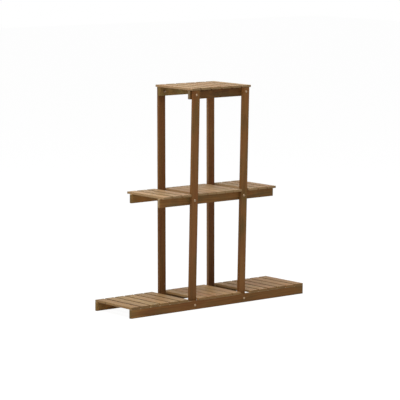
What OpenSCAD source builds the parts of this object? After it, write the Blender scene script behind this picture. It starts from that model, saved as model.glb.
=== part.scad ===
// Three-tier stepped plant stand of slatted boards
// X runs along the tiers, Y from the front (-Y) to the back, Z up from the floor.
// The origin is on the floor, under the middle of the stand. All sizes are in millimetres.

/* [Tiers] */
// Length of the bottom tier
bottom_len = 830; // [775:5:950]
// Length of the middle tier
middle_len = 540; // [520:5:620]
// Length of the top tier
top_len = 280; // [270:2:340]
// Depth of every tier, which is the length of a slat
tier_depth = 206; // [190:1:240]
// Height of the middle tier's surface above the floor
middle_height = 420; // [340:5:480]
// Height of the top tier's surface above the floor
top_height = 800; // [700:5:900]

/* [Rails] */
// Height of a rail, which stands on edge
rail_h = 32; // [28:1:45]
// Thickness of a rail
rail_t = 12; // [10:0.5:16]
// Length by which the middle tier's rails run past its end slats
middle_rail_past = 3; // [0:0.5:6]

/* [Slats] */
// Width of a slat
slat_w = 39; // [34:0.5:40.5]
// Thickness of a slat
slat_t = 8; // [6:0.5:12]
// Number of slats in the centre panel, between the posts
centre_slats = 5; // [3:1:5]
// Number of slats in each wing of the bottom tier
bottom_wing_slats = 6; // [4:1:6]
// Number of slats in each wing of the middle tier
middle_wing_slats = 3; // [2:1:3]
// Number of slats on the top tier
top_slats = 6; // [4:1:6]

/* [Posts] */
// Width of a post, seen from the front
post_w = 30; // [24:1:34]
// Thickness of a post, front to back
post_t = 12; // [10:0.5:16]
// Clear space between the left and the right posts
post_span = 207; // [200:1:209]
// Outward lean of a post from the vertical, in degrees
post_lean = 0.87; // [0:0.01:1]
// Space between a post and the centre panel of slats
centre_gap = 1; // [0.5:0.5:3]
// Space between a post and the nearest slat of a bottom wing
bottom_wing_gap = 16.5; // [6:0.5:24]
// Space between a post and the nearest slat of a middle wing
middle_wing_gap = 6.5; // [4:0.5:12]

/* [Bolts] */
// Diameter of a bolt's shank
bolt_d = 5; // [4:0.5:6]
// Diameter of a bolt's button head
bolt_head_d = 9.5; // [9:0.5:13]
// Height of a bolt's button head
bolt_head_h = 2.75; // [2:0.25:4]
// Width of the hexagon socket in the head, across its flats
socket_w = 3; // [2:0.5:4]
// Depth of the hexagon socket
socket_depth = 1.6; // [1:0.1:1.8]
// Length of bolt that stands out of its nut
bolt_tail = 1.5; // [0.5:0.5:4]
// Diameter of a washer
washer_d = 10; // [9:0.5:14]
// Thickness of a washer
washer_t = 1; // [0.8:0.1:1.6]
// Width of a nut, across its flats
nut_w = 8; // [7:0.5:10]
// Thickness of a nut
nut_t = 4; // [3:0.1:5]

/* [Nails] */
// Diameter of a nail's shank
nail_d = 1.8; // [1.4:0.1:2.2]
// Diameter of a nail's flat head
nail_head_d = 3.6; // [3:0.1:4.5]
// Thickness of a nail's head
nail_head_t = 0.8; // [0.5:0.1:1.2]
// Length of nail that is driven into the rail
nail_grip = 11; // [8:0.5:11]
// Depth of a nail's head below the surface of its slat
nail_sink = 0.3; // [0:0.1:0.6]

/* [Fits and edges] */
// Radius of the eased long edges of every board
edge_r = 1.2; // [0.5:0.1:2]
// Space between a bolt's shank and its hole, all round
bolt_clear = 0.25; // [0.1:0.05:0.5]
// Space between a bolt's shank and the bore of its nut, all round
nut_clear = 0.1; // [0.05:0.05:0.2]
// Space between a nail and its hole, all round
nail_clear = 0.05; // [0.02:0.01:0.1]

/* [Hidden] */
$fn = 48;

slat_colour = "#A98A62";
rail_colour = "#674A2E";
post_colour = "#6B4C2E";
bolt_colour = "#C2B28C";
nail_colour = "#8E8B84";

// Each tier's rails carry its slats, so their upper edges are one slat below the surface
TIERS = ["bottom", "middle", "top"];
tier_len = [bottom_len, middle_len, top_len];
tier_top = [rail_h + slat_t, middle_height, top_height];
rail_past = [0, middle_rail_past, 0];
function slats_z(tier) = tier_top[tier] - slat_t;
function rail_z(tier) = slats_z(tier) - rail_h;
function bolt_z(tier) = rail_z(tier) + rail_h / 2;

// Distances from the middle plane to the two faces of a leaning post, at the height z
post_x = (post_span + post_w) / 2;
rail_seat = tier_depth / 2 - rail_t;
function post_outside(z) = rail_seat + (z - rail_h) * tan(post_lean);
function post_inside(z) = post_outside(z) - post_t / cos(post_lean);

// The bottom rails stand outside the posts, flush with the slats, and the others inside them
function rail_outside(tier) = tier == 0 ? tier_depth / 2 : post_inside(rail_z(tier));
function rail_inside(tier) = rail_outside(tier) - rail_t;
function rail_middle(tier) = rail_outside(tier) - rail_t / 2;

// Where a bolt's head bears outside and its washer inside, at the first point that each touches
function head_seat(tier) =
    tier == 0 ? rail_outside(tier) : post_outside(bolt_z(tier) + bolt_head_d / 2);
function washer_seat(tier) =
    tier == 0 ? post_inside(bolt_z(tier) - washer_d / 2) : rail_inside(tier);

// Left edges of a panel's slats, spread evenly along X between its two ends
function panel_slats(from, to, count) =
    [for (i = [0 : count - 1]) from + i * (to - from - slat_w) / (count - 1)];

// The lower tiers have a panel between the posts and a wing on each side, the top one a single panel
post_outer_x = post_x + post_w / 2;
centre_half = post_span / 2 - centre_gap;
function three_panels(half_len, wing_gap, wing_slats) = concat(
    panel_slats(-half_len, -post_outer_x - wing_gap, wing_slats),
    panel_slats(-centre_half, centre_half, centre_slats),
    panel_slats(post_outer_x + wing_gap, half_len, wing_slats)
);
tier_slats = [
    three_panels(bottom_len / 2, bottom_wing_gap, bottom_wing_slats),
    three_panels(middle_len / 2, middle_wing_gap, middle_wing_slats),
    panel_slats(-top_len / 2, top_len / 2, top_slats)
];

// Names, with every slat counted from the left in two digits
function two_digits(n) = str(n < 10 ? "0" : "", n);
function slat_name(tier, i) = str(TIERS[tier], "_slat_", two_digits(i + 1));
SIDES = [["left", -1], ["right", 1]];
FACES = [["front", -1], ["back", 1]];
function post_name(face, side) = str(face[0], "_", side[0], "_post");
function rail_name(tier, face) = str(TIERS[tier], "_", face[0], "_rail");
function set_name(tier, what) = str(TIERS[tier], "_", what);

// Cross-section of a planed board with eased edges, from the origin to [width, thickness]
module board_section(width, thickness) {
    translate([edge_r, 0])
        square([width - 2 * edge_r, thickness]);
    translate([0, edge_r])
        square([width, thickness - 2 * edge_r]);
    for (x = [edge_r, width - edge_r])
        for (y = [edge_r, thickness - edge_r])
            translate([x, y])
                circle(r = edge_r);
}

// Mirrors its children, drawn at the back right post, to the post of another face and side
module at_corner(face, side) {
    mirror([side < 0 ? 1 : 0, 0, 0])
        mirror([0, face < 0 ? 1 : 0, 0])
            children();
}

module at_every_post() {
    for (face = [-1, 1])
        for (side = [-1, 1])
            at_corner(face, side)
                children();
}

// Hole along Y for a tier's bolt at the back right post
module bolt_hole(tier) {
    translate([post_x, tier_depth, bolt_z(tier)])
        rotate([90, 0, 0])
            cylinder(d = bolt_d + 2 * bolt_clear, h = tier_depth);
}

// One nail standing on its point, with its head's upper face at the origin and grow added all round
module nail_shape(grow = 0) {
    shank_r = nail_d / 2 + grow;
    head_r = nail_head_d / 2 + grow;
    head_z = -nail_head_t - grow;
    tip_z = nail_sink - slat_t - nail_grip - grow;
    rotate_extrude()
        polygon([
            [0, 0],
            [head_r, 0],
            [head_r, head_z],
            [shank_r, head_z],
            [shank_r, tip_z + nail_d],
            [0, tip_z]
        ]);
}

// Moves its children to both ends of a slat, where a nail's head lies sunk in it
module at_nails(tier, left) {
    for (face = [-1, 1])
        translate([left + slat_w / 2, face * rail_middle(tier), tier_top[tier] - nail_sink])
            children();
}

// Nail holes of a tier, open to the surface above the sunk heads
module nail_holes(tier, left) {
    at_nails(tier, left) {
        nail_shape(nail_clear);
        cylinder(d = nail_head_d + 2 * nail_clear, h = slat_t);
    }
}

// A post is straight, with its foot and its head cut level
module post(face, side) {
    past_floor = rail_h + post_t;
    color(post_colour)
        at_corner(face, side)
            difference() {
                intersection() {
                    translate([post_x - post_w / 2, rail_seat, rail_h])
                        rotate([-post_lean, 0, 0])
                            translate([0, -post_t, -past_floor])
                                linear_extrude(top_height + past_floor)
                                    board_section(post_w, post_t);
                    cube([tier_len[0], tier_depth, slats_z(2)]);
                }
                for (tier = [0 : 2])
                    bolt_hole(tier);
            }
}

// A rail stands on edge under its tier from end to end, bolted at both posts and nailed from above
module rail(tier, face) {
    length = tier_len[tier] + 2 * rail_past[tier];
    color(rail_colour)
        difference() {
            at_corner(face, 1)
                translate([-length / 2, rail_inside(tier), rail_z(tier)])
                    rotate([90, 0, 90])
                        linear_extrude(length)
                            board_section(rail_t, rail_h);
            for (side = [-1, 1])
                at_corner(face, side)
                    bolt_hole(tier);
            for (left = tier_slats[tier])
                at_nails(tier, left)
                    nail_shape(nail_clear);
        }
}

// A slat lies front to back over both rails of its tier
module slat(tier, left) {
    color(slat_colour)
        difference() {
            translate([left, tier_depth / 2, slats_z(tier)])
                rotate([90, 0, 0])
                    linear_extrude(tier_depth)
                        board_section(slat_w, slat_t);
            nail_holes(tier, left);
        }
}

// Button-head bolts point inward, through post and rail, and end a little past their nuts
module bolts(tier) {
    nut_face = washer_seat(tier) - washer_t - nut_t;
    shank_len = head_seat(tier) - nut_face + bolt_tail;
    dome_r = (pow(bolt_head_d / 2, 2) + pow(bolt_head_h, 2)) / (2 * bolt_head_h);
    color(bolt_colour)
        at_every_post()
            translate([post_x, head_seat(tier), bolt_z(tier)])
                rotate([-90, 0, 0])
                    difference() {
                        union() {
                            intersection() {
                                translate([0, 0, bolt_head_h - dome_r])
                                    sphere(r = dome_r);
                                cylinder(d = bolt_head_d, h = bolt_head_h);
                            }
                            translate([0, 0, -shank_len])
                                cylinder(d = bolt_d, h = shank_len);
                        }
                        translate([0, 0, bolt_head_h - socket_depth])
                            cylinder(d = socket_w / cos(30), h = bolt_head_h, $fn = 6);
                    }
}

module washers(tier) {
    color(bolt_colour)
        at_every_post()
            translate([post_x, washer_seat(tier), bolt_z(tier)])
                rotate([90, 0, 0])
                    difference() {
                        cylinder(d = washer_d, h = washer_t);
                        translate([0, 0, -washer_t])
                            cylinder(d = bolt_d + 2 * bolt_clear, h = 3 * washer_t);
                    }
}

module nuts(tier) {
    color(bolt_colour)
        at_every_post()
            translate([post_x, washer_seat(tier) - washer_t, bolt_z(tier)])
                rotate([90, 0, 0])
                    difference() {
                        cylinder(d = nut_w / cos(30), h = nut_t, $fn = 6);
                        translate([0, 0, -nut_t])
                            cylinder(d = bolt_d + 2 * nut_clear, h = 3 * nut_t);
                    }
}

module nails(tier) {
    color(nail_colour)
        for (left = tier_slats[tier])
            at_nails(tier, left)
                nail_shape();
}

// Each piece is drawn when its own name or all of them are asked for
for (face = FACES)
    for (side = SIDES)
        post(face[1], side[1]);

for (tier = [0 : 2]) {
    for (face = FACES)
        rail(tier, face[1]);
    for (i = [0 : len(tier_slats[tier]) - 1])
        slat(tier, tier_slats[tier][i]);
    bolts(tier);
    washers(tier);
    nuts(tier);
    nails(tier);
}
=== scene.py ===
"""Looks of a free-standing stepped plant stand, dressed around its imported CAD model.

The stand is soft pine that was baked brown in a kiln, planed, nailed and bolted, and thinly oiled. Every board
of the CAD model is replaced by a board with a worn and planed surface, and every bolt, washer and nut by one
with its socket, thread and chamfers. X runs along the tiers, the front faces -Y and Z points up. Sizes are in
metres.
"""

import logging
import math
import zlib
from dataclasses import dataclass, replace
from enum import Enum

import bmesh
import bpy
import numpy as np
from mathutils import Matrix, Vector


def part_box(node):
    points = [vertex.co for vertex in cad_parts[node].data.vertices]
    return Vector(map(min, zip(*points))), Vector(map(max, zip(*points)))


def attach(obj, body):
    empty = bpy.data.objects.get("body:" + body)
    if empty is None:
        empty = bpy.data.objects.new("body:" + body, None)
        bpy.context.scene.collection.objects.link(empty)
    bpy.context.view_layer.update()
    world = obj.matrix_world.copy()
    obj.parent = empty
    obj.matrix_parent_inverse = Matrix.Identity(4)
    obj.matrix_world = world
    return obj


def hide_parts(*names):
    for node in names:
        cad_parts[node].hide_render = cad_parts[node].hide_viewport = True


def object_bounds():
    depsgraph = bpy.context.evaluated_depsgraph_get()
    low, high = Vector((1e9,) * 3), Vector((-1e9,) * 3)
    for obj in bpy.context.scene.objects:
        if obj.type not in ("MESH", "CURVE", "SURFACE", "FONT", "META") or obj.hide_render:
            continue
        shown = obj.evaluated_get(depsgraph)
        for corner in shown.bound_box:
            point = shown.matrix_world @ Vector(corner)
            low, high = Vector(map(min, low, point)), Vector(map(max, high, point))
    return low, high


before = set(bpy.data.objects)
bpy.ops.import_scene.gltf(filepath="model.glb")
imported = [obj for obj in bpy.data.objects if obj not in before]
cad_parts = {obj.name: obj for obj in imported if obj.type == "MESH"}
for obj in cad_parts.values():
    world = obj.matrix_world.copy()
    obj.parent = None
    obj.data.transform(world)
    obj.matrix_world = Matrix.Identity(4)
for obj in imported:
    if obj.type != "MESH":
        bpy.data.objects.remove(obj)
CAD_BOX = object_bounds()

Array = np.ndarray
Socket = bpy.types.NodeSocket
Tree = bpy.types.NodeTree
Finish = bpy.types.Material
Piece = bpy.types.Object
Span = tuple[float, float]
Stops = tuple[Span, ...]
log = logging.getLogger("plant_stand")

MM = 0.001
ROOT_BODY = "root"
TIERS = ("bottom", "middle", "top")
FACES = {"front": -1, "back": 1}
SIDES = {"left": -1, "right": 1}
X_AXIS, Y_AXIS, Z_AXIS = np.eye(3)
FULL_TURN = 2 * math.pi
WHITE = (1.0, 1.0, 1.0, 1.0)
# Settings of nodes that multiply two shares, and that lay one colour over another by its share.
TIMES = {"operation": "MULTIPLY", "use_clamp": True}
LAY_OVER = {"data_type": "RGBA", "clamp_factor": True}
# The Mix node's sockets for colours, whose names stand for its other kinds of data too.
UNDER, OVER, MIXED = 6, 7, 2


class Slot(Enum):
    """The record's material slots."""

    SLAT = "slat_wood"
    RAIL = "rail_wood"
    POST = "post_wood"
    BOLT = "bolt_steel"


class Field(Enum):
    """Names of the vectors that a board carries at each vertex for its wood."""

    TIMBER = "timber"
    BOARD = "board"
    SURFACE = "surface"


class Fastener(Enum):
    """Kinds of fastener at each post, as their CAD nodes' names end."""

    BOLT = "bolts"
    WASHER = "washers"
    NUT = "nuts"


def linear(hex_colour: str) -> tuple[float, float, float, float]:
    """Turns a colour as the eye reads it on a screen into the linear values of a shader.

    The sRGB curve is straight up to 0.04045 and goes with the power of 2.4 above.

    Args:
        hex_colour: sRGB colour as "#RRGGBB".

    Returns:
        Linear red, green, blue and an alpha of 1.
    """
    channels = [int(hex_colour[i:i + 2], 16) / 255 for i in (1, 3, 5)]
    straight = [c / 12.92 if c <= 0.04045 else ((c + 0.055) / 1.055) ** 2.4 for c in channels]
    return (*straight, 1.0)


def empty_tree(owner: Finish | bpy.types.World) -> Tree:
    """Gives a new material or world a node tree with nothing in it.

    Args:
        owner: the material or the world.

    Returns:
        Its tree.
    """
    owner.use_nodes = True
    owner.node_tree.nodes.clear()
    return owner.node_tree


def add(tree: Tree, kind: str, inputs: dict | None = None, out: int | str | None = 0, stops: Stops = (),
        **settings) -> bpy.types.Node | Socket:
    """Adds one node to a material's or the world's tree.

    Args:
        tree: the node tree.
        kind: the node's type without its "ShaderNode" prefix.
        inputs: input names or numbers, each with its value or the socket that feeds it.
        out: name or number of the wanted output, or None for the node itself.
        stops: for a colour ramp, its positions in order, each with the grey there.
        **settings: the node's own properties.

    Returns:
        The node, or its wanted output.
    """
    node = tree.nodes.new("ShaderNode" + kind)
    for name, value in settings.items():
        setattr(node, name, value)
    for name, value in (inputs or {}).items():
        if isinstance(value, Socket):
            tree.links.new(value, node.inputs[name])
        else:
            node.inputs[name].default_value = value
    if stops:
        elements = node.color_ramp.elements
        while len(elements) < len(stops):
            elements.new(0.5)
        for element, (position, value) in zip(elements, stops):
            element.position = position
            element.color = (value, value, value, 1.0)
    return node if out is None else node.outputs[out]


def weighted_sum(tree: Tree, terms: list[tuple[Socket, float]], offset: float = 0.0) -> Socket:
    """Adds values, each times its weight, to an offset.

    Args:
        tree: the node tree.
        terms: the values, each with its weight.
        offset: what the sum starts from.

    Returns:
        The socket of the sum.
    """
    for term, weight in terms:
        offset = add(tree, "Math", {0: term, 1: weight, 2: offset}, operation="MULTIPLY_ADD")
    return offset


@dataclass(frozen=True)
class BakedPine:
    """Pine baked brown in a kiln, planed and thinly oiled.

    The eye sees a warm brown with darker summer-wood lines that run along each board and close in arches where
    the cut grazes a ring, a few knots with the grain swelling round them, fine fibres, broad streaks left by
    the baking, patches that turn reddish or olive, dark arrises, painted shade on the sides that face a gap,
    olive-brown end grain, grey dry wood at the slats' far ends, and painted light in a pale colour on the
    rails' tops and on one post's side. The oil gives a thin sheen at a low angle.

    A pattern's size is its width across the grain and its length along it, and its share is how far it takes
    the wood from its spring colour to its summer colour.
    """

    name: str
    spring: str
    summer: str
    ends: str
    # Colour of the dark arrises, and of the painted shade on the sides that face a gap.
    arris_and_gap_shade: str
    pale_ends: str = "#B89E78"
    # Colour of dry wood at a slat's far end, and of the painted light where a board carries it.
    dry_and_lit: str = "#6A6448"
    knot: str = "#3A2413"
    olive: str = "#6C5C30"
    blush: str = "#86502A"
    base_shade: float = -0.65
    ring_mm: float = 4.2
    ring_share: float = 0.62
    ring_profile: Stops = ((0.0, 0.0), (0.45, 0.10), (0.80, 0.92), (0.93, 1.0), (1.0, 0.0))
    ring_contrast: Span = (0.45, 1.0)
    kink_mm: Span = (60.0, 420.0)
    kink_reach_mm: float = 16.0
    # Real fibres are about 0.04 mm wide. They are drawn 0.9 mm wide, as fine as the render can show.
    fibre_mm: Span = (0.9, 38.0)
    fibre_share: float = 0.34
    streak_mm: Span = (15.0, 260.0)
    streak_share: float = 0.62
    cloud_mm: Span = (45.0, 520.0)
    cloud_share: float = 0.40
    patch_mm: Span = (34.0, 110.0)
    patch_share: float = 0.30
    mottle: float = 1.0
    patchiness: float = 1.3
    # A cell holds one knot at most, and the grain swells round it between two multiples of its radius.
    knot_cell_mm: Span = (74.0, 230.0)
    knot_share: float = 0.30
    knot_radius_mm: Span = (2.2, 5.8)
    knot_heart: float = 0.72
    knot_length: float = 0.62
    knot_ring_mm: float = 1.3
    knot_swell: Span = (0.6, 4.5)
    knot_swell_rings: float = 2.4
    # What the core of a knot and an end have without a ring line, and what the line adds there.
    knot_lines: Span = (0.55, 0.35)
    end_lines: Span = (0.95, -0.35)
    # How the streaks break up the dark arrises and painted gap shade, and the fibres the dry wood and painted
    # light.
    arris_profile: Stops = ((0.25, 0.45), (0.75, 0.95))
    dry_and_lit_profile: Stops = ((0.3, 0.6), (0.7, 1.0))
    roughness: float = 0.55
    fibre_roughness: float = 0.18
    ring_polish: float = 0.08
    end_roughness: float = 0.20
    ior: float = 1.47
    gloss: float = 0.14
    relief: float = 0.25 * MM
    relief_strength: float = 0.55
    ring_relief: float = 0.45
    fibre_relief: float = 0.65
    knot_relief: float = 0.5

    def material(self) -> Finish:
        """Builds the finish.

        The wood is one solid field in the log's own space: a ring line lies where the distance from the pith,
        bent by noise and swollen round the knots, passes a whole number of ring widths. Colours are laid over
        the spring wood's by their shares, the board's tone multiplies them, and dry wood and painted light lie
        on top.

        Returns:
            The material, which reads the vectors named in Field from the mesh.
        """
        material = bpy.data.materials.new(self.name)
        tree = empty_tree(material)
        timber, board, surface = (add(tree, "Attribute", out="Vector", attribute_name=name.value)
                                  for name in Field)
        tone, own_cast, pale_end = add(tree, "SeparateXYZ", {0: board}, None).outputs
        # The surface's dark arrises with painted gap shade, its end faces, and its dry wood with painted light.
        edge_dark_and_gap_shade, on_end, dry_and_lit_share = add(tree, "SeparateXYZ", {0: surface}, None).outputs
        place = add(tree, "VectorMath", {0: timber, "Scale": 1 / MM}, operation="SCALE")

        knot_core, knot_swell, knot_distance = self._knots(tree, place)
        late = self._rings(tree, place, knot_swell)
        fibres = self._grain_noise(tree, place, self.fibre_mm, detail=3.0)
        streaks = self._grain_noise(tree, place, self.streak_mm, detail=4.0)
        clouds = self._grain_noise(tree, place, self.cloud_mm, detail=2.0)
        patches = self._grain_noise(tree, place, self.patch_mm, detail=2.0)

        mottling = {streaks: self.streak_share, clouds: self.cloud_share, patches: self.patch_share}
        # The noises are 0.5 on average, so half of what a stronger mottling adds to the shade comes off again.
        offset = self.base_shade - 0.5 * sum(mottling.values()) * (self.mottle - 1)
        mottles = [(noise, share * self.mottle) for noise, share in mottling.items()]
        shade = weighted_sum(tree, [(late, self.ring_share), (fibres, self.fibre_share), *mottles], offset)
        cast = weighted_sum(tree, [(patches, self.patchiness), (own_cast, 1.0)], -0.5 * self.patchiness)
        between, on_line = self.end_lines
        end_lines = weighted_sum(tree, [(late, on_line)], between)
        end_share = add(tree, "Math", {0: on_end, 1: end_lines}, **TIMES)
        ends = add(tree, "Mix", {0: pale_end, UNDER: linear(self.ends), OVER: linear(self.pale_ends)}, MIXED,
                   **LAY_OVER)
        # Dark arrises and painted shade on the sides that face a gap, broken up by the streaks.
        broken = add(tree, "ValToRGB", {0: streaks}, stops=self.arris_profile)
        dark = add(tree, "Math", {0: edge_dark_and_gap_shade, 1: broken}, **TIMES)
        knot_wave = add(tree, "Math", {0: knot_distance, 1: self.knot_ring_mm}, operation="PINGPONG")
        between, on_line = self.knot_lines
        knot_rings = weighted_sum(tree, [(knot_wave, on_line)], between)
        knot = add(tree, "Math", {0: knot_core, 1: knot_rings}, **TIMES)
        colour = linear(self.spring)
        for share, over in ((shade, linear(self.summer)), (cast, linear(self.olive)),
                            (weighted_sum(tree, [(cast, -1.0)]), linear(self.blush)), (end_share, ends),
                            (dark, linear(self.arris_and_gap_shade)), (knot, linear(self.knot))):
            colour = add(tree, "Mix", {0: share, UNDER: colour, OVER: over}, MIXED, **LAY_OVER)
        tones = add(tree, "CombineColor", {name: tone for name in ("Red", "Green", "Blue")})
        colour = add(tree, "Mix", {0: 1.0, UNDER: colour, OVER: tones}, MIXED, data_type="RGBA",
                     blend_type="MULTIPLY")
        # Dry wood and painted light have their own colour whatever the board's tone, but not on the ends.
        fibrous = add(tree, "ValToRGB", {0: fibres}, stops=self.dry_and_lit_profile)
        dry_and_lit = add(tree, "Math", {0: dry_and_lit_share, 1: fibrous}, **TIMES)
        dry_and_lit = add(tree, "Math", {0: dry_and_lit, 1: weighted_sum(tree, [(end_share, -1.0)], 1.0)}, **TIMES)
        colour = add(tree, "Mix", {0: dry_and_lit, UNDER: colour, OVER: linear(self.dry_and_lit)}, MIXED, **LAY_OVER)

        roughness = weighted_sum(tree, [(fibres, self.fibre_roughness), (late, -self.ring_polish),
                                        (on_end, self.end_roughness)],
                                 self.roughness - self.fibre_roughness / 2)
        height = weighted_sum(tree, [(late, self.ring_relief), (fibres, self.fibre_relief),
                                     (knot_core, self.knot_relief)])
        bump = add(tree, "Bump", {"Strength": self.relief_strength, "Distance": self.relief, "Height": height})
        shader = add(tree, "BsdfPrincipled", {"Base Color": colour, "Roughness": roughness, "IOR": self.ior,
                     "Specular IOR Level": self.gloss, "Normal": bump})
        add(tree, "OutputMaterial", {"Surface": shader}, None)
        return material

    def _knots(self, tree: Tree, place: Socket) -> tuple[Socket, Socket, Socket]:
        """Scatters knots over a coarse grid of cells, of which only a share holds one.

        Args:
            tree: the node tree.
            place: place in the log in millimetres.

        Returns:
            Sockets of the knot's core from 0 to 1, of the swell of the grain round it, and of the distance from
            it, which counts less along the grain, because knots are cut longer that way.
        """
        across, along = self.knot_cell_mm
        scaled = add(tree, "VectorMath", {0: place, 1: (across, along, 1.0)}, operation="DIVIDE")
        cells = add(tree, "TexVoronoi", {"Vector": scaled, "Scale": 1.0, "Randomness": 0.8}, None,
                    voronoi_dimensions="2D").outputs
        offset = add(tree, "VectorMath", {0: scaled, 1: cells["Position"]}, operation="SUBTRACT")
        flat = add(tree, "VectorMath", {0: offset, 1: (across, along * self.knot_length, 0.0)},
                   operation="MULTIPLY")
        distance = add(tree, "VectorMath", {0: flat}, "Value", operation="LENGTH")
        random = add(tree, "SeparateColor", {0: cells["Color"]}, None).outputs
        holds = add(tree, "Math", {0: random["Red"], 1: 1 - self.knot_share}, operation="GREATER_THAN")
        small, large = self.knot_radius_mm
        radius = weighted_sum(tree, [(random["Green"], large - small)], small)
        heart = weighted_sum(tree, [(radius, self.knot_heart)])
        core = add(tree, "MapRange", {"Value": distance, "From Min": radius, "From Max": heart},
                   interpolation_type="SMOOTHSTEP")
        near, far = self.knot_swell
        reach = add(tree, "Math", {0: distance, 1: radius}, operation="DIVIDE")
        swell = add(tree, "MapRange", {"Value": reach, "From Min": near, "From Max": far, "To Min": 1.0,
                    "To Max": 0.0}, interpolation_type="SMOOTHERSTEP")
        return (*(add(tree, "Math", {0: shape, 1: holds}, **TIMES) for shape in (core, swell)), distance)

    def _rings(self, tree: Tree, place: Socket, swell: Socket) -> Socket:
        """Draws the summer wood of the yearly rings, each year with its own strength.

        Args:
            tree: the node tree.
            place: place in the log in millimetres.
            swell: how far the grain swells round a knot, from 0 to 1.

        Returns:
            The socket of the summer wood, from 0 to 1.
        """
        noise = self._grain_noise(tree, place, self.kink_mm, detail=2.0, rough=0.45, out="Color")
        centred = add(tree, "VectorMath", {0: noise, 1: (0.5, 0.5, 0.5)}, operation="SUBTRACT")
        kink = add(tree, "VectorMath", {0: centred, "Scale": self.kink_reach_mm}, operation="SCALE")
        bent = add(tree, "VectorMath", {0: place, 1: kink}, operation="ADD")
        level = add(tree, "VectorMath", {0: bent, 1: (1.0, 0.0, 1.0)}, operation="MULTIPLY")
        radius = add(tree, "VectorMath", {0: level}, "Value", operation="LENGTH")
        swollen = weighted_sum(tree, [(radius, 1.0), (swell, self.knot_swell_rings * self.ring_mm)])
        rings = add(tree, "Math", {0: swollen, 1: self.ring_mm}, operation="DIVIDE")
        year, season = (add(tree, "Math", {0: rings}, operation=part) for part in ("FLOOR", "FRACT"))
        summer = add(tree, "ValToRGB", {0: season}, stops=self.ring_profile)
        weather = add(tree, "TexWhiteNoise", {"W": year}, noise_dimensions="1D")
        weak, strong = self.ring_contrast
        strength = weighted_sum(tree, [(weather, strong - weak)], weak)
        return add(tree, "Math", {0: summer, 1: strength}, **TIMES)

    @staticmethod
    def _grain_noise(tree: Tree, place: Socket, size_mm: Span, detail: float, rough: float = 0.55,
                     out: str = "Fac") -> Socket:
        """Draws noise out along the grain.

        Args:
            tree: the node tree.
            place: place in the log in millimetres.
            size_mm: width and length of its features.
            detail: how many times finer noise is added.
            rough: how strong each finer noise is to the one before.
            out: "Fac" for one noise, or "Color" for three.

        Returns:
            The socket of the noise, around 0.5.
        """
        across, along = size_mm
        scaled = add(tree, "VectorMath", {0: place, 1: (across, along, across)}, operation="DIVIDE")
        return add(tree, "TexNoise", {"Vector": scaled, "Scale": 1.0, "Detail": detail, "Roughness": rough},
                   out)


@dataclass(frozen=True)
class PlatedSteel:
    """Steel that was turned or drawn and then plated thinly with zinc.

    The eye sees a light warm metal with a soft gleam, slight clouding where the plating is uneven, and the fine
    lines that turning or drawing left.
    """

    name: str
    bright: str
    dull: str
    roughness: float
    uneven_roughness: float = 0.22
    cloud_mm: float = 2.4
    cloud_profile: Stops = ((0.35, 0.0), (0.70, 1.0))
    # Turning leaves lines about 0.05 mm apart. They are drawn as grit of 0.25 mm, so that it shows.
    grit_mm: float = 0.25
    grit_relief: float = 0.04 * MM
    grit_strength: float = 0.25

    def material(self) -> Finish:
        """Builds the finish on Object coordinates.

        Returns:
            The material.
        """
        material = bpy.data.materials.new(self.name)
        tree = empty_tree(material)
        place = add(tree, "TexCoord", out="Object")
        clouds, grit = (add(tree, "TexNoise", {"Vector": place, "Scale": 1 / (size * MM), "Detail": detail})
                        for size, detail in ((self.cloud_mm, 3.0), (self.grit_mm, 1.0)))
        share = add(tree, "ValToRGB", {0: clouds}, stops=self.cloud_profile)
        colour = add(tree, "Mix", {0: share, UNDER: linear(self.bright), OVER: linear(self.dull)}, MIXED,
                     **LAY_OVER)
        uneven = self.uneven_roughness
        rough = weighted_sum(tree, [(clouds, uneven)], self.roughness - uneven / 2)
        bump = add(tree, "Bump", {"Strength": self.grit_strength, "Distance": self.grit_relief, "Height": grit})
        shader = add(tree, "BsdfPrincipled", {"Base Color": colour, "Metallic": 1.0, "Roughness": rough,
                     "Normal": bump})
        add(tree, "OutputMaterial", {"Surface": shader}, None)
        return material


@dataclass(frozen=True)
class StudioFloor:
    """Seamless pale paper under the stand: white to the camera, with the stand's faint shadow left on it."""

    name: str = "studio_paper"
    paper: str = "#E8E6E2"
    glow: float = 0.94
    shadow_share: float = 0.15

    def material(self) -> Finish:
        """Builds the paper: plain and matt to the light, but partly self-lit to the camera and to gloss.

        Returns:
            The material.
        """
        material = bpy.data.materials.new(self.name)
        tree = empty_tree(material)
        share = self.shadow_share
        matt = add(tree, "BsdfDiffuse", {"Color": linear(self.paper)})
        shadow = add(tree, "BsdfDiffuse", {"Color": (share, share, share, 1.0)})
        lit = add(tree, "Emission", {"Color": WHITE, "Strength": self.glow})
        seen = add(tree, "AddShader", {0: shadow, 1: lit})
        mixed = add(tree, "MixShader", {0: seen_directly(tree), 1: matt, 2: seen})
        add(tree, "OutputMaterial", {"Surface": mixed}, None)
        return material


def seen_directly(tree: Tree) -> Socket:
    """Tells rays that show a surface as it is from rays that gather its light.

    Args:
        tree: the node tree.

    Returns:
        A socket that is 1 for camera, glossy and transmission rays and 0 for the others.
    """
    path = add(tree, "LightPath", out=None).outputs
    either = add(tree, "Math", {0: path["Is Camera Ray"], 1: path["Is Glossy Ray"]}, operation="MAXIMUM")
    return add(tree, "Math", {0: either, 1: path["Is Transmission Ray"]}, operation="MAXIMUM")


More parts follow.
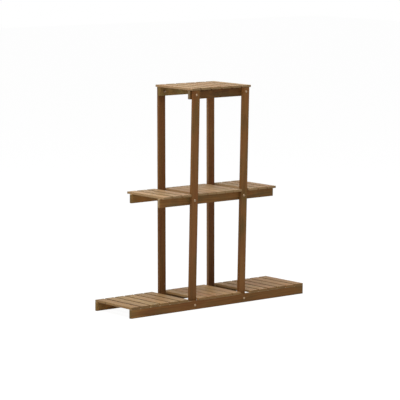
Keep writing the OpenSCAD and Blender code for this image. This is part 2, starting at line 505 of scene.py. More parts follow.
def mesh_object(name: str, points: Array, faces: Array, merge: float = 0.0,
                fields: dict[Field, Array] | None = None) -> Piece:
    """Puts computed points and quads into a mesh that lies at the origin.

    Args:
        name: the piece's name.
        points: vertices, one row each.
        faces: quads as rows of four vertex numbers.
        merge: distance under which points are merged and the shell closed, or 0 to keep them all.
        fields: vectors that the vertices carry, one row a vertex.

    Returns:
        The object, shaded smooth.
    """
    mesh = bpy.data.meshes.new(name)
    mesh.from_pydata(points.tolist(), [], faces.tolist())
    mesh.shade_smooth()
    piece = bpy.data.objects.new(name, mesh)
    bpy.context.scene.collection.objects.link(piece)
    for key, values in (fields or {}).items():
        attribute = mesh.attributes.new(key.value, "FLOAT_VECTOR", "POINT")
        attribute.data.foreach_set("vector", values.astype(np.float32).ravel())
    if merge:
        work = bmesh.new()
        work.from_mesh(mesh)
        bmesh.ops.remove_doubles(work, verts=work.verts, dist=merge)
        bmesh.ops.recalc_face_normals(work, faces=work.faces)
        work.to_mesh(mesh)
        work.free()
    return piece


def stand_for(piece: Piece, node: str, finish: Finish) -> Piece:
    """Gives a piece its finish and puts it in place of a CAD node.

    Args:
        piece: the piece.
        node: the CAD node that it stands for.
        finish: the material.

    Returns:
        The same piece.
    """
    piece.data.materials.append(finish)
    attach(piece, ROOT_BODY)
    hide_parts(node)
    return piece


def grid_quads(rows: int, columns: int, closed_rows: bool = False) -> Array:
    """Quads of a grid whose columns close on themselves.

    Vertex (i, j) has the number i * columns + j, and a quad joins it to its right, upper right and upper
    neighbours.

    Args:
        rows: number of rows.
        columns: number of columns, of which the last is next to the first.
        closed_rows: whether the last row is next to the first one too.

    Returns:
        Quads as rows of four vertex numbers.
    """
    i, j = np.meshgrid(np.arange(rows if closed_rows else rows - 1), np.arange(columns), indexing="ij")
    up = (i + 1) % rows
    right = (j + 1) % columns
    corners = [i * columns + j, i * columns + right, up * columns + right, up * columns + j]
    return np.stack(corners, axis=-1).reshape(-1, 4)


def stations(low: float, high: float, step: float, close: Array) -> Array:
    """Even stations between two ends, which give way to closer ones where the surface needs these.

    Args:
        low: first station.
        high: last station.
        step: largest space between even stations.
        close: places of the closer stations.

    Returns:
        The sorted stations, with none closer than a tenth of a millimetre to the next.
    """
    from_end, apart, from_close = 0.2 * MM, 0.1 * MM, 0.35 * step
    even = np.linspace(low, high, max(2, math.ceil((high - low) / step) + 1))
    close = close[(close > low + from_end) & (close < high - from_end)]
    clear = np.all(np.abs(even[1:-1, None] - close[None, :]) > from_close, axis=1)
    kept = np.unique(np.round(np.concatenate([even[:1], even[1:-1][clear], close, even[-1:]]), 6))
    return kept[np.concatenate([[True], np.diff(kept) > apart])]


@dataclass(frozen=True)
class Dent:
    """A round hollow on the middle line of the face that shows, from a nail's head or a tightened bolt.

    It is flat inside its floor radius and comes up smoothly to the face at its rim radius. The surface needs
    points at the given shares of the rim radius from its middle.
    """

    floor: float
    rim: float
    depth: float

    POINT_SHARES = (0.0, 0.3, 0.55, 0.72, 0.84, 0.95, 1.08)

    def offsets(self) -> Array:
        """Distances from its middle, to both sides, at which the surface needs points."""
        one_side = self.rim * np.array(self.POINT_SHARES)
        return np.unique(np.concatenate([-one_side, one_side]))

    def hollow(self, radius: Array) -> Array:
        """Depth at a radius: the smooth step 3 t^2 - 2 t^3 of the way t gone from the rim to the floor."""
        t = np.clip((self.rim - radius) / (self.rim - self.floor), 0, 1)
        return self.depth * t * t * (3 - 2 * t)


NAIL_DENT = Dent(floor=1.9 * MM, rim=2.8 * MM, depth=0.62 * MM)
BOLT_DENT = Dent(floor=5.1 * MM, rim=6.2 * MM, depth=0.2 * MM)


@dataclass(frozen=True)
class Wood:
    """What sets a board's colour apart from that of its fellows: its own wood, and painted light and shade.

    The tone multiplies the finish's colours and grows along the board by the brightening, and both may carry
    painted light and shade as well as the wood's own colour. The cast goes from reddish below 0 to olive above
    it. The blooms are how much brighter the start and the end are than the rest, and the bloom cast is how much
    more olive. The lit sides are the shares of painted light on the low and the high side.
    """

    tone: float = 1.0
    brightening: float = 0.0
    cast: float = 0.0
    pale_end: float = 0.0
    bloom: Span = (0.0, 0.0)
    bloom_cast: float = 0.0
    lit_sides: Span = (0.0, 0.0)


@dataclass
class Board:
    """A planed board, drawn as a surface over its length and the way round its section."""

    node: str
    slot: Slot
    start: Array
    end: Array
    across: Array
    through: Array
    width: float
    thickness: float
    dent: Dent
    dents_at: list[float]
    wood: Wood
    dry_reach: float = 0.0
    # Painted shade on the low and the high side, where a slat's side faces a gap.
    gap_shade_sides: Span = (0.0, 0.0)
    edge: float = 1.2 * MM
    end_round: float = 0.5 * MM
    step: float = 4.0 * MM
    section_step: float = 3.0 * MM
    wear: float = 0.15 * MM
    bruise_wear: float = 0.9
    bruised_share: float = 0.38
    bloom_reach: float = 48.0 * MM
    # How far from each dent the painted light on a side gives way to painted shade, and how far from the ends
    # the painted gap shade comes up.
    dent_shade_reach: float = 32.0 * MM
    gap_shade_fade: float = 14.0 * MM
    merge: float = 0.002 * MM

    CORNER_STEPS = 5
    END_STEPS = 4
    CAP_SHARES = (0.25, 0.5, 0.75, 1.0)
    WAVES = 6
    WAVE_MM = (70, 240)
    WAVE_TURNS = (1, 3)
    # How much finer the unevenness behind the bruises is along and round the board.
    BRUISE_FINER = (3, 2)
    FACES_OUT = 0.99
    # A round corner counts as a part of its side before it faces that way fully.
    SIDE_GAIN = 1.3
    # How a board may lie in its log: its turn, its two drifts, and its place off the pith and up the log.
    ROLL = 0.6
    DRIFT = (0.011, 0.008)
    PITH_MM = (16, 58)
    ASIDE_MM = 14
    UP_LOG = 40
    # How far boards differ in tone and cast, and the most times that far that one may be off.
    TONE_SPREAD = (0.06, 1.8)
    CAST_SPREAD = (0.12, 2.0)
    # Random shares of the dry reach, and of dryness at the far end itself.
    DRY_REACHES = (0.4, 1.3)
    DRY_SHARES = (0.4, 0.9)

    def __post_init__(self) -> None:
        """Seeds the board's own random numbers from its name, and works out its section and its rows."""
        self.random = np.random.default_rng(zlib.crc32(self.node.encode()))
        self.length = float(np.linalg.norm(self.end - self.start))
        self.points, self.normals, self.edges = self.section()
        self.place, self.draw, self.shrink = self.rows()

    def section(self) -> tuple[Array, Array, Array]:
        """Points round the section, which is a rectangle with round corners.

        A corner point is the corner's centre plus the edge radius times its normal, for normals that turn by a
        quarter circle, and the flat after each corner carries points at its stations.

        Returns:
            Points across and through the board, their normals, and how near each is to the middle of an edge.
        """
        half_w, half_t = self.width / 2 - self.edge, self.thickness / 2 - self.edge
        wide = stations(-half_w, half_w, self.section_step, self.dent.offsets())[1:-1]
        thin = stations(-half_t, half_t, self.section_step, np.zeros(0))[1:-1]
        turn = np.linspace(0, FULL_TURN / 4, self.CORNER_STEPS)
        corners = ((half_w, -half_t), (half_w, half_t), (-half_w, half_t), (-half_w, -half_t))
        points, normals, edges = [], [], []
        for quarter, (corner, flat) in enumerate(zip(corners, (thin, wide[::-1], thin[::-1], wide))):
            angles = turn + (quarter - 1) * FULL_TURN / 4
            turned = np.stack([np.cos(angles), np.sin(angles)], axis=1)
            run = np.tile(corner, (len(flat), 1))
            run[:, 1 - quarter % 2] = flat
            points += [np.array(corner) + self.edge * turned, run + self.edge * turned[-1]]
            normals += [turned, np.tile(turned[-1], (len(flat), 1))]
            edges += [np.sin(2 * turn), np.zeros(len(flat))]
        return np.concatenate(points), np.concatenate(normals), np.concatenate(edges)

    def rows(self) -> tuple[Array, Array, Array]:
        """Rows along the board: its length, its rounded ends and its two end faces.

        Near an end the section is drawn in by r - sqrt(r^2 - (r - d)^2) at the distance d from the end, where r
        is the end's round, and on the end face it shrinks onto its own middle line.

        Returns:
            Distance from the start, inward draw and share of the shrink for each row.
        """
        middles = np.array([round(place, 5) for place in self.dents_at])
        close = (middles[:, None] + self.dent.offsets()[None, :]).ravel()
        turn = np.linspace(0, FULL_TURN / 4, self.END_STEPS)
        near = self.end_round * (1 - np.sin(turn))
        drawn = self.end_round * (1 - np.cos(turn))
        inner = stations(self.end_round, self.length - self.end_round, self.step, close)[1:-1]
        shares = np.array(self.CAP_SHARES)
        cap = np.zeros(len(shares))
        full = np.full(len(shares), self.end_round)
        place = np.concatenate([cap, near[::-1], inner, self.length - near, self.length + cap])
        draw = np.concatenate([full, drawn[::-1], np.zeros(len(inner)), drawn, full])
        shrink = np.concatenate([shares[::-1], np.zeros(len(inner) + 2 * len(near)), shares])
        return place, draw, shrink

    def ripple(self, along: Array, around: Array) -> Array:
        """Slow unevenness of a planed board: the mean of sine waves of random direction, length and phase.

        Args:
            along: distance along the board.
            around: angle round its section.

        Returns:
            The unevenness, from 0 to 1.
        """
        total = np.zeros(np.broadcast_shapes(along.shape, around.shape))
        fewest, most = self.WAVE_TURNS
        for _ in range(self.WAVES):
            length = self.random.uniform(*self.WAVE_MM) * MM
            turns = self.random.integers(fewest, most + 1)
            phase = self.random.uniform(0, FULL_TURN)
            total = total + np.sin(FULL_TURN * along / length + turns * around + phase)
        return 0.5 + 0.5 * total / self.WAVES

    def surface(self) -> tuple[Array, dict[Field, Array]]:
        """Works out the whole board.

        A point is the board's middle line at its row, plus its section point drawn in along its normal by the
        row's draw and the wear, and pressed in by the dents. The wear is the planing's unevenness and, on the
        edges, bruises where a second, finer unevenness passes a limit.

        Returns:
            The grid of points as rows by columns by 3, and the fields at the points.
        """
        along = self.place[:, None]
        around = np.arctan2(self.points[:, 1] / self.thickness, self.points[:, 0] / self.width)[None, :]
        uneven = self.ripple(along, around)
        finer_along, finer_around = self.BRUISE_FINER
        over = self.ripple(along * finer_along, around * finer_around) - (1 - self.bruised_share)
        bruise = np.clip(over, 0, None) / self.bruised_share
        inward = self.draw[:, None] + self.wear * (uneven + self.bruise_wear * bruise * self.edges[None, :])
        flat = self.points[None, :, :] - inward[:, :, None] * self.normals[None, :, :]
        half_line = (self.width - self.thickness) / 2
        middle = np.clip(self.points[:, 0], -half_line, half_line)
        centre = np.stack([middle, np.zeros_like(middle)], axis=1)[None, :, :]
        flat = centre + (flat - centre) * (1 - self.shrink)[:, None, None]
        dents = [self.dent.hollow(np.hypot(along - place, flat[:, :, 0])) for place in self.dents_at]
        flat[:, :, 1] -= np.where(self.normals[None, :, 1] > self.FACES_OUT, np.max(dents, axis=0), 0.0)
        axis = (self.end - self.start) / self.length
        grid = (self.start + along[:, :, None] * axis
                + flat[:, :, :1] * self.across + flat[:, :, 1:] * self.through)
        return grid, {Field.TIMBER: self.timber(flat), Field.BOARD: self.board_values(),
                      Field.SURFACE: self.surface_values()}

    def timber(self, flat: Array) -> Array:
        """Place of each point in the log, whose pith runs along Y.

        The board is shifted off the pith and turned by a roll r, to x = across cos r - through sin r and
        z = across sin r + through cos r, and both drift evenly along the board.

        Args:
            flat: points across and through the board.

        Returns:
            The places, one vector a point.
        """
        roll = self.random.uniform(-self.ROLL, self.ROLL) + (math.pi if self.random.random() < 0.5 else 0.0)
        drift_z, drift_x = (self.random.normal(0, spread) for spread in self.DRIFT)
        off_pith = self.random.uniform(*self.PITH_MM) * MM
        aside = self.random.uniform(-self.ASIDE_MM, self.ASIDE_MM) * MM
        up_log = self.random.uniform(-self.UP_LOG, self.UP_LOG)
        across, through = flat[:, :, 0] + aside, flat[:, :, 1] + off_pith
        along = np.broadcast_to(self.place[:, None], across.shape)
        log_x = across * math.cos(roll) - through * math.sin(roll) + drift_x * along
        log_z = across * math.sin(roll) + through * math.cos(roll) + drift_z * along
        return np.stack([log_x, along + up_log, log_z], axis=-1)

    def board_values(self) -> Array:
        """The board's tone, its cast and how pale its ends are.

        Tone and cast are a little off at random. The tone grows evenly along the board, and both grow toward
        the ends with e to the power of minus the squared distance over the bloom reach.

        Returns:
            The three values, one vector a point.
        """
        off_tone, off_cast = (spread * np.clip(self.random.normal(), -most, most)
                              for spread, most in (self.TONE_SPREAD, self.CAST_SPREAD))
        wood = self.wood
        near_ends = np.exp(-(np.stack([self.place, self.length - self.place]) / self.bloom_reach) ** 2)
        growth = wood.brightening * (self.place / self.length - 0.5) + np.array(wood.bloom) @ near_ends
        tone = wood.tone * (1 + off_tone) * (1 + growth)
        cast = wood.cast + off_cast + wood.bloom_cast * near_ends.sum(axis=0)
        values = np.stack([tone, cast, np.full(len(tone), wood.pale_end)], axis=-1)
        return np.broadcast_to(values[:, None, :], (len(tone), len(self.edges), 3))

    def surface_values(self) -> Array:
        """How dark the surface is, whether it is on an end face, and how much dry wood and painted light it
        has.

        The arrises are dark, and the sides that face a gap carry painted shade, which comes up smoothly from
        the ends. A side carries painted light by the square of how much the surface faces it, times one minus e
        to the power of minus the squared distance from each dent over the dent shade reach, so that painted
        shade stays near each dent. Dry wood and painted light aren't dark. The far end is dry with e to the
        power of minus the distance over a random reach.

        Returns:
            The three values, one vector a point.
        """
        facing = self.SIDE_GAIN * np.abs(self.normals[:, 0])
        darkest, most_lit = (np.where(self.normals[:, 0] < 0, low, high)
                           for low, high in (self.gap_shade_sides, self.wood.lit_sides))
        # Painted light on the side that faces it, such as a rail's top.
        dry_and_lit = np.tile(most_lit * np.clip(facing, 0, 1) ** 2, (len(self.place), 1))
        for dent in self.dents_at:
            # Painted shade near each dent takes the painted light away there.
            dry_and_lit = dry_and_lit * (1 - np.exp(-((self.place - dent) / self.dent_shade_reach) ** 2))[:, None]
        from_end = np.minimum(self.place, self.length - self.place)[:, None]
        # Painted shade on the sides that face a gap, coming up from the ends, joined by the dark arrises.
        edge_dark_and_gap_shade = np.clip(facing * darkest, 0, 1) * np.clip(from_end / self.gap_shade_fade, 0, 1) ** 2
        edge_dark_and_gap_shade = np.maximum(self.edges[None, :], edge_dark_and_gap_shade) * (1 - self.shrink)[:, None]
        on_end = np.broadcast_to(np.clip(self.draw / self.end_round, 0, 1)[:, None] ** 2, dry_and_lit.shape)
        dark = np.clip(edge_dark_and_gap_shade + on_end * (self.shrink == 0)[:, None], 0, 1) * (1 - dry_and_lit)
        if self.dry_reach:
            reach = self.dry_reach * self.random.uniform(*self.DRY_REACHES)
            far_end = np.exp(-(self.length - self.place) / reach) * self.random.uniform(*self.DRY_SHARES)
            dry_and_lit = np.maximum(dry_and_lit, far_end[:, None])
        return np.stack([dark, on_end, dry_and_lit], axis=-1)

    def build(self, finish: Finish) -> Piece:
        """Makes the board's mesh, gives it its wood and puts it in place of its CAD node.

        Args:
            finish: the wood.

        Returns:
            The finished piece.
        """
        grid, fields = self.surface()
        piece = mesh_object(self.node + "_wood", grid.reshape(-1, 3), grid_quads(*grid.shape[:2]), self.merge,
                            fields)
        return stand_for(piece, self.node, finish)


def middle_and_size(node: str) -> tuple[Array, Array]:
    """Centre and size of a CAD node's box."""
    low, high = (np.array(corner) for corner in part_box(node))
    return (low + high) / 2, high - low


def corner_box(node: str, face: int, side: int) -> tuple[Array, Array]:
    """Box of what a CAD node has at one post.

    Args:
        node: a node with a copy of a fastener at every post.
        face: -1 for the front and 1 for the back.
        side: -1 for the left and 1 for the right.

    Returns:
        Its lowest and highest corners.
    """
    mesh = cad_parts[node].data
    points = np.zeros(len(mesh.vertices) * 3, np.float32)
    mesh.vertices.foreach_get("co", points)
    points = points.reshape(-1, 3).astype(float)
    here = points[(points[:, 0] * side > 0) & (points[:, 1] * face > 0)]
    return here.min(axis=0), here.max(axis=0)


@dataclass
class BoardGroup:
    """Boards that share one finish. Each kind of group works out its own boards."""

    finish: Finish

    def boards(self) -> list[Board]:
        """Works out the boards."""
        raise NotImplementedError

    def build(self) -> list[Piece]:
        """Makes the boards."""
        return [board.build(self.finish) for board in self.boards()]


@dataclass
class Slats(BoardGroup):
    """The slats of one tier, nailed at both ends."""

    tier: str
    dry_reach: float = 15.0 * MM
    # How dark the painted shade is on the sides that face a gap.
    gap_shade: float = 0.9
    gap_pitch: float = 1.5

    # Wood of the slats left of the posts, between them and right of them. The tones carry painted light and
    # shade as well as the wood: the lower slats between the posts are lighter, as painted light against the
    # shade of the tier above.
    WINGS = {
        "bottom": (Wood(1.0, cast=-0.25), Wood(1.36, cast=-0.4), Wood(1.08, cast=-0.42)),
        "middle": (Wood(1.06, pale_end=0.3), Wood(1.18, pale_end=0.3), Wood(1.08, cast=-0.1, pale_end=0.3)),
        "top": (Wood(pale_end=0.3),) * 3}
    # A few slats are plainly darker or lighter than their neighbours; their tones carry both their own wood
    # and painted light and shade.
    STANDOUTS = {
        "bottom_slat_01": 0.86, "bottom_slat_02": 0.83, "bottom_slat_06": 1.07, "bottom_slat_07": 0.90,
        "bottom_slat_08": 0.92, "bottom_slat_15": 0.92, "middle_slat_04": 0.86}

    def boards(self) -> list[Board]:
        """Works out each slat from its CAD node, with a dent for the nail above each rail.

        Sides that face each other across a gap carry painted shade.

        Returns:
            The tier's slats, from the left.
        """
        rails = [middle_and_size(f"{self.tier}_{face}_rail")[0] for face in FACES]
        post_x = middle_and_size("front_right_post")[0][0]
        made = []
        for node in sorted(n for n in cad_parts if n.startswith(self.tier + "_slat_")):
            centre, size = middle_and_size(node)
            start, end = centre - Y_AXIS * size[1] / 2, centre + Y_AXIS * size[1] / 2
            wood = self.WINGS[self.tier][np.searchsorted([-post_x, post_x], centre[0])]
            wood = replace(wood, tone=wood.tone * self.STANDOUTS.get(node, 1.0))
            made.append(Board(node, Slot.SLAT, start, end, X_AXIS, Z_AXIS, size[0], size[2], NAIL_DENT,
                              [rail[1] - start[1] for rail in rails], wood, self.dry_reach))
        # Neighbours close enough to leave a gap get painted shade on the sides that face it.
        for left, right in zip(made, made[1:]):
            if right.start[0] - left.start[0] < self.gap_pitch * left.width:
                left.gap_shade_sides = (left.gap_shade_sides[0], self.gap_shade)
                right.gap_shade_sides = (self.gap_shade, 0.0)
        return made


@dataclass
class Rails(BoardGroup):
    """The front and the back rail of one tier, on edge, dented where a bolt's head or washer bears."""

    tier: str
    # Share of painted light on the rails' tops.
    lit_top: float = 0.9

    # The tones and their growth along each rail carry painted light and shade as well as the wood: the top
    # front rail is darker, as painted shade under the slats' overhang, and the back rails are lighter, as
    # painted light on their shaded inner faces.
    # The lowest front rail's left end is a paler olive.
    WOODS = {
        "bottom_front_rail": Wood(0.83, 0.05, 0.1, bloom=(0.55, 0.0), bloom_cast=0.45),
        "bottom_back_rail": Wood(1.45, cast=0.25),
        "middle_front_rail": Wood(0.98, -0.25, 0.05, pale_end=0.7),
        "middle_back_rail": Wood(1.36, cast=0.4),
        "top_front_rail": Wood(0.60, pale_end=0.8),
        "top_back_rail": Wood(1.9, 0.5, 0.45)}

    def boards(self) -> list[Board]:
        """Works out both rails from their CAD nodes.

        The bottom rails carry the bolts' heads outside and the others their washers inside, and that face has
        the dents. The tops carry painted light, which gives way to painted shade near the bolts.

        Returns:
            The front and the back rail.
        """
        made = []
        for face, toward in FACES.items():
            node = f"{self.tier}_{face}_rail"
            centre, size = middle_and_size(node)
            start, end = centre - X_AXIS * size[0] / 2, centre + X_AXIS * size[0] / 2
            outward = toward if self.tier == TIERS[0] else -toward
            bolts = [sum(corner_box(f"{self.tier}_bolts", toward, side)) / 2 for side in SIDES.values()]
            # The top carries painted light.
            wood = replace(self.WOODS[node], lit_sides=(0.0, self.lit_top))
            made.append(Board(node, Slot.RAIL, start, end, Z_AXIS, outward * Y_AXIS, size[2], size[1],
                              BOLT_DENT, [bolt[0] - start[0] for bolt in bolts], wood))
        return made


@dataclass
class Posts(BoardGroup):
    """The four leaning posts, dented under the bolt heads of the middle and the top tier."""

    thickness: float = 12 * MM

    # The tones carry painted light and shade as well as the wood: the right posts grow darker toward their
    # feet, as painted shade, and the back right post's left side carries a painted highlight.
    WOODS = {
        "front_left_post": Wood(0.87),
        "front_right_post": Wood(0.87, 0.15, -0.1),
        "back_left_post": Wood(0.81, cast=-0.4),
        "back_right_post": Wood(0.76, 0.8, -0.05, lit_sides=(0.4, 0.0))}

    def boards(self) -> list[Board]:
        """Works out the posts from their CAD nodes.

        A post's box is as deep as its thickness and its lean together, so the rest of the depth is the lean.

        Returns:
            The four posts, each from its foot to its head.
        """
        made = []
        for face, toward in FACES.items():
            for side, sideward in SIDES.items():
                node = f"{face}_{side}_post"
                centre, size = middle_and_size(node)
                lean = np.array([0, toward * (size[1] - self.thickness) / 2, size[2] / 2])
                foot, head = centre - lean, centre + lean
                bolts = [sum(corner_box(f"{tier}_bolts", toward, sideward)) / 2 for tier in TIERS[1:]]
                made.append(Board(node, Slot.POST, foot, head, X_AXIS, toward * Y_AXIS, size[0], self.thickness,
                                  BOLT_DENT, [bolt[2] - foot[2] for bolt in bolts], self.WOODS[node]))
        return made


@dataclass
class Bolts:
    """A tier's four button-head bolts with their washers and nuts, drawn as turned and threaded surfaces.

    Each is a grid of rows by angles, with a radius and a height that runs inward from its outer end.
    """

    finish: Finish
    tier: str
    shank_r: float = 2.5 * MM
    head_h: float = 2.75 * MM
    head_rim: float = 0.12 * MM
    head_round: float = 0.15 * MM
    socket_w: float = 3.0 * MM
    socket_depth: float = 1.6 * MM
    socket_bevel: Span = (0.12 * MM, 0.08 * MM)
    drill_share: float = 0.6
    drill_depths: Span = (0.1 * MM, 0.3 * MM)
    pitch: float = 0.8 * MM
    thread_depth: float = 0.42 * MM
    threaded: float = 7.0 * MM
    chamfer: float = 0.35 * MM
    nut_bore_r: float = 2.6 * MM
    nut_cone: float = 0.97
    washer_bore_r: float = 2.75 * MM
    washer_round: float = 0.22
    turns: int = 72
    dome_rows: int = 12
    thread_rows: int = 10
    merge: float = 0.0005 * MM

    @property
    def angle(self) -> Array:
        """Angles of the points round an axis, as one row."""
        return np.linspace(0, FULL_TURN, self.turns, endpoint=False)[None, :]

    def stacked(self, rows: list[float | Array]) -> Array:
        """Stacks values, columns and whole rows to one grid of rows by angles."""
        return np.concatenate([row + np.zeros((1, self.turns)) for row in rows])

    def hexagon(self, across_flats: float) -> Array:
        """Distance to a hexagon's side: half its width over the cosine of the angle from the side's middle."""
        sixth = FULL_TURN / 6
        return across_flats / 2 / np.cos(np.mod(self.angle, sixth) - sixth / 2)

    def bolt_grid(self, head_w: float, whole: float) -> tuple[Array, Array]:
        """A bolt, over the angle and the way from its socket's floor to its tip.

        The socket's radius is a hexagon's, the dome is a circle's arc through the head's rim, and the thread's
        radius falls by a triangle wave of the height over the pitch less the angle over a full turn.

        Args:
            head_w: width of the head.
            whole: length with the head.

        Returns:
            Radius and height.
        """
        head_r, length = head_w / 2, whole - self.head_h
        socket = self.hexagon(self.socket_w)
        bevel_out, bevel_in = self.socket_bevel
        socket_rim = self.socket_w / 2 / math.cos(FULL_TURN / 12) + bevel_out
        sphere_r = (head_r ** 2 + self.head_h ** 2) / (2 * self.head_h)
        arc = np.linspace(socket_rim, head_r, self.dome_rows)[:, None]
        dome = np.sqrt(sphere_r ** 2 - arc ** 2) + self.head_h - sphere_r
        floor = self.head_h - self.socket_depth
        shoulder, point = self.drill_depths
        tip = np.arange(0, self.threaded, self.pitch / self.thread_rows)[::-1][:, None] - length
        wave = np.mod(tip / self.pitch - self.angle / FULL_TURN, 1.0)
        cut = self.thread_depth * (1 - np.abs(2 * wave - 1))
        cone = np.clip((self.chamfer - (tip + length)) / self.chamfer, 0, 1) * self.thread_depth
        thread = self.shank_r - np.maximum(cut, cone)
        radius = self.stacked([0, self.drill_share * socket, socket, socket, arc, head_r - self.head_round,
                               self.shank_r, self.shank_r, thread, 0])
        over_seat = self.stacked([floor - point, floor - shoulder, floor, dome[0] - bevel_in,
                                  np.maximum(dome, self.head_rim), 0, 0, self.threaded - length, tip, -length])
        return radius, self.head_h - over_seat

    def nut_grid(self, across_flats: float, thick: float) -> tuple[Array, Array]:
        """A nut as a closed ring: the bore, and a hexagon cut back by a shallow cone on both faces.

        Args:
            across_flats: width across the flats.
            thick: thickness.

        Returns:
            Radius and height.
        """
        # Levels lie closer where the cone cuts the corners off.
        shares = [np.linspace(0, 0.18, 6), np.linspace(0.3, 0.7, 3), np.linspace(0.82, 1, 6)]
        level = thick * np.concatenate(shares)[:, None]
        rise = np.minimum(level, thick - level) / math.tan(FULL_TURN / 12)
        side = np.minimum(self.hexagon(across_flats), across_flats / 2 * self.nut_cone + rise)
        bore, mouth = self.nut_bore_r, self.nut_bore_r + self.chamfer
        return (self.stacked([side, mouth, bore, bore, mouth]),
                self.stacked([level, thick, thick - self.chamfer, self.chamfer, 0]))

    def washer_grid(self, outer_w: float, thick: float) -> tuple[Array, Array]:
        """A washer as a closed ring whose corners were rounded by stamping.

        Args:
            outer_w: outer width.
            thick: thickness.

        Returns:
            Radius and height.
        """
        bore, outer, soft = self.washer_bore_r, outer_w / 2, self.washer_round * thick
        bevel = 0.3 * soft
        profile = np.array([(bore, soft), (bore + soft, 0), (outer - soft, 0), (outer - bevel, bevel),
                            (outer, soft), (outer, thick - soft), (outer - bevel, thick - bevel),
                            (outer - soft, thick), (bore + soft, thick), (bore, thick - soft)])
        return self.stacked([profile[:, :1]]), self.stacked([profile[:, 1:]])

    def build(self) -> list[Piece]:
        """Makes each kind of fastener as one piece in place of its CAD node.

        A point lies at its radius round a line along Y, at its height inward from the fastener's outer end.

        Returns:
            The tier's bolts, its washers and its nuts.
        """
        grids = {Fastener.BOLT: self.bolt_grid, Fastener.WASHER: self.washer_grid, Fastener.NUT: self.nut_grid}
        pieces = []
        for kind, grid in grids.items():
            node = f"{self.tier}_{kind.value}"
            points, quads = [], []
            for face in FACES.values():
                for side in SIDES.values():
                    low, high = corner_box(node, face, side)
                    radius, height = grid(high[2] - low[2], high[1] - low[1])
                    outer_end = (low + high) / 2
                    outer_end[1] = high[1] if face > 0 else low[1]
                    ring = grid_quads(len(radius), self.turns, closed_rows=kind is not Fastener.BOLT)
                    quads.append(ring + sum(map(len, points)))
                    turned = [radius * np.cos(self.angle), -face * height, radius * np.sin(self.angle)]
                    points.append(np.stack(turned, axis=-1).reshape(-1, 3) + outer_end)
            piece = mesh_object(node + "_steel", np.concatenate(points), np.concatenate(quads), self.merge)
            pieces.append(stand_for(piece, node, self.finish))
        return pieces


@dataclass
class Nails:
    """The nails that hold the slats. Their CAD solids stay, because only their flat heads show."""

    finish: Finish

    def build(self) -> list[Piece]:
        """Gives every node of nails its finish.

        Returns:
            The nodes' objects.
        """
        nodes = [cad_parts[tier + "_nails"] for tier in TIERS]
        for nails in nodes:
            nails.data.materials.clear()
            nails.data.materials.append(self.finish)
        return nodes


@dataclass(frozen=True)
class PhotoCamera:
    """The camera that took the picture, as fitted to the stand's edges in it."""

    azimuth: float = math.radians(40.899)
    elevation: float = math.radians(7.745)
    roll: float = math.radians(0.504)
    distance: float = 8.2572
    focal_px: float = 2261.7
    frame_px: float = 400.0
    aside: float = -0.00828
    aim_height: float = 0.37796
    pivot_height: float = 0.4
    sensor: float = 36.0
    clip_end: float = 60.0

    def build(self) -> None:
        """Creates the camera, which looks past the pivot from the left of the front, and sets it."""
        data = bpy.data.cameras.new("photo_camera")
        data.sensor_width = self.sensor
        data.lens = self.focal_px / self.frame_px * self.sensor
        data.clip_end = self.clip_end
        camera = bpy.data.objects.new("photo_camera", data)
        from_pivot = (self.aside, self.aim_height - self.pivot_height, self.distance)
        camera.matrix_world = (Matrix.Translation((0, 0, self.pivot_height))
                               @ Matrix.Rotation(-self.azimuth, 4, "Z")
                               @ Matrix.Rotation(FULL_TURN / 4 - self.elevation, 4, "X")
                               @ Matrix.Translation(from_pivot) @ Matrix.Rotation(self.roll, 4, "Z"))
        bpy.context.scene.collection.objects.link(camera)
        bpy.context.scene.camera = camera


@dataclass(frozen=True)
class Lamp:
    """A soft square studio lamp that faces the stand's middle."""

    name: str
    place: tuple[float, float, float]
    size: float
    watts: float

    def build(self, aim: Vector) -> None:
        """Creates the lamp.

        Args:
            aim: the point that it is turned to.
        """
        data = bpy.data.lights.new(self.name, "AREA")
        data.shape = "SQUARE"
        data.size = self.size
        data.energy = self.watts
        lamp = bpy.data.objects.new(self.name, data)
        lamp.location = self.place
        lamp.rotation_euler = (aim - lamp.location).to_track_quat("-Z", "Y").to_euler()
        bpy.context.scene.collection.objects.link(lamp)


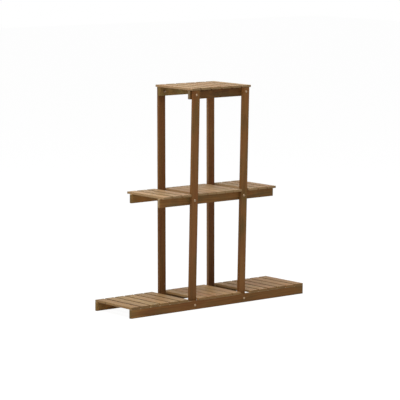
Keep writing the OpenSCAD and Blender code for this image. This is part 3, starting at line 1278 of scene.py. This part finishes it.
@dataclass
class Studio:
    """White seamless studio: pale floor, soft light from above and from the left, and an even white room."""

    floor: StudioFloor = StudioFloor()
    floor_half: float = 14.0
    room_light: float = 0.30
    lamps: tuple[Lamp, ...] = (
        Lamp("overhead_lamp", (-0.8, -0.4, 3.5), 2.6, 86.0),
        Lamp("left_lamp", (-3.2, -0.6, 1.5), 1.8, 12.0),
    )

    def build(self) -> None:
        """Makes the floor, the lamps and the room, which is white where it is seen and gives less light."""
        half = self.floor_half
        corners = np.array([(-half, -half, 0), (half, -half, 0), (half, half, 0), (-half, half, 0)])
        ground = mesh_object("studio_floor", corners, np.array([[0, 1, 2, 3]]))
        ground.data.materials.append(self.floor.material())
        aim = (CAD_BOX[0] + CAD_BOX[1]) / 2
        for lamp in self.lamps:
            lamp.build(aim)
        world = bpy.data.worlds.new("white_room")
        tree = empty_tree(world)
        strength = add(tree, "MapRange", {"Value": seen_directly(tree), "To Min": self.room_light})
        room = add(tree, "Background", {"Color": WHITE, "Strength": strength})
        add(tree, "OutputWorld", {"Surface": room}, None)
        bpy.context.scene.world = world
        bpy.context.scene.view_settings.view_transform = "Standard"


def main() -> None:
    """Dresses the stand part by part, reports each piece, and sets up the studio."""
    logging.basicConfig(level=logging.INFO, format="%(name)s: %(message)s")
    # The slats' arris colour also paints the shade on the sides that face a gap.
    upper = BakedPine("baked_pine_slats", spring="#C09F77", summer="#8E6C45", ends="#886A44", arris_and_gap_shade="#584026",
                      olive="#8C7C50", blush="#9C6A44")
    # The lowest slats have a little yellower wood than the others.
    lower = replace(upper, name="baked_pine_low_slats", spring="#C09F6E", summer="#8E6C40")
    upper_wood, lower_wood = upper.material(), lower.material()
    slat_woods = dict(zip(TIERS, (lower_wood, upper_wood, upper_wood)))
    # The rails' pale dry colour is painted light on their tops.
    rail_wood = BakedPine("baked_pine_rails", spring="#9A6C3A", summer="#734C24", ends="#6E5832",
                          arris_and_gap_shade="#453420", dry_and_lit="#E2CAA2", olive="#74643E", mottle=1.6, patchiness=2.2,
                          knot_share=0.12).material()
    # The posts' dry colour is a painted highlight on the back right post's left side.
    post_wood = BakedPine("baked_pine_posts", spring="#9A6B3B", summer="#734B24", ends="#7A6038",
                          arris_and_gap_shade="#453420", dry_and_lit="#D0A880", mottle=1.7, patchiness=2.2,
                          knot_share=0.06).material()
    bolt_steel = PlatedSteel("zinc_plated_steel", bright="#AE9478", dull="#7E6A54", roughness=0.34).material()
    nail_steel = PlatedSteel("drawn_wire", bright="#C4BCAE", dull="#9C968A", roughness=0.45).material()
    parts = [Posts(post_wood)]
    for tier in TIERS:
        parts += [Rails(rail_wood, tier), Slats(slat_woods[tier], tier), Bolts(bolt_steel, tier)]
    for part in (*parts, Nails(nail_steel)):
        for piece in part.build():
            log.info("%s: %d faces of %s", piece.name, len(piece.data.polygons), piece.data.materials[0].name)
    PhotoCamera().build()
    Studio().build()


if __name__ == "__main__":
    main()
